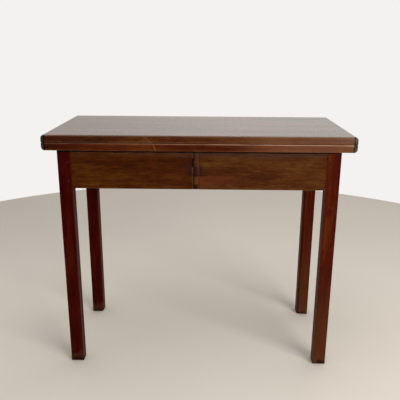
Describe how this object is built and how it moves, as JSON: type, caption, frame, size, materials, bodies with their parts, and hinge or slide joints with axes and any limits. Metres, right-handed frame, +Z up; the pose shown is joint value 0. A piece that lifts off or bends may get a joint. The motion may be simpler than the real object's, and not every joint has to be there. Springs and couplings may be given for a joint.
{
  "type": "fold-over tea table",
  "caption": "Fold-over tea table: hinged double top on a square-legged frame, with a back leg that swings out on a wooden knuckle joint to carry the opened leaf.",
  "frame": {"origin": "on the floor, under the centre of the folded top", "axes": "+Z up; +X along the table's length, to the right seen from the hinge side; -Y towards the hinge edge and the fly rail, +Y towards the front"},
  "size_m": [0.883, 0.41, 0.725],
  "materials": {
    "mahogany_top": "old waxed polish",
    "mahogany_frame": "dark old polish",
    "back_rail_wood": "unpolished, oxidised",
    "pine": "unfinished, darkened",
    "oak_peg": "end grain",
    "hinge_brass": "dull, oxidised",
    "iron": "dark, oxidised"
  },
  "bodies": {
    "frame": {"back_glue_blocks": "pine", "back_leg_left": "mahogany_frame", "back_leg_pegs_left": "oak_peg", "back_rail_screws": "iron", "fixed_back_rail": "back_rail_wood", "front_glue_blocks": "pine", "front_leg_left": "mahogany_frame", "front_leg_pegs_left": "oak_peg", "front_leg_pegs_right": "oak_peg", "front_leg_right": "mahogany_frame", "front_rail": "mahogany_frame", "inner_back_rail": "pine", "knuckle_pin": "iron", "lower_hinge_pin_left": "iron", "lower_hinge_pin_right": "iron", "lower_hinge_plate_left": "hinge_brass", "lower_hinge_plate_right": "hinge_brass", "lower_hinge_screws": "iron", "lower_leaf": "mahogany_top", "side_glue_blocks_left": "pine", "side_glue_blocks_right": "pine", "side_rail_left": "mahogany_frame", "side_rail_right": "mahogany_frame", "top_screws": "iron"},
    "upper_leaf": {"upper_hinge_pin_left": "iron", "upper_hinge_pin_right": "iron", "upper_hinge_plate_left": "hinge_brass", "upper_hinge_plate_right": "hinge_brass", "upper_hinge_screws": "iron", "upper_leaf": "mahogany_top"},
    "hinge_links": {"hinge_link_left": "iron", "hinge_link_right": "iron"},
    "fly_gate": {"fly_rail": "back_rail_wood", "swing_leg": "mahogany_frame", "swing_leg_pegs": "oak_peg"}
  },
  "joints": [
    {"name": "link_swing", "type": "hinge", "parent": "frame", "child": "hinge_links", "pos_m": [0, -0.201, 0.6986], "axis": [1, 0, 0], "range_deg": [0, 90]},
    {"name": "leaf_fold", "type": "hinge", "parent": "hinge_links", "child": "upper_leaf", "pos_m": [0, -0.201, 0.707], "axis": [1, 0, 0], "range_deg": [0, 90]},
    {"name": "fly_leg_swing", "type": "hinge", "parent": "frame", "child": "fly_gate", "pos_m": [-0.008, -0.1827, 0.6], "axis": [0, 0, -1], "range_deg": [0, 90]}
  ],
  "couplings": [
    {"joint": "link_swing", "follows": "leaf_fold", "ratio": 1}
  ]
}
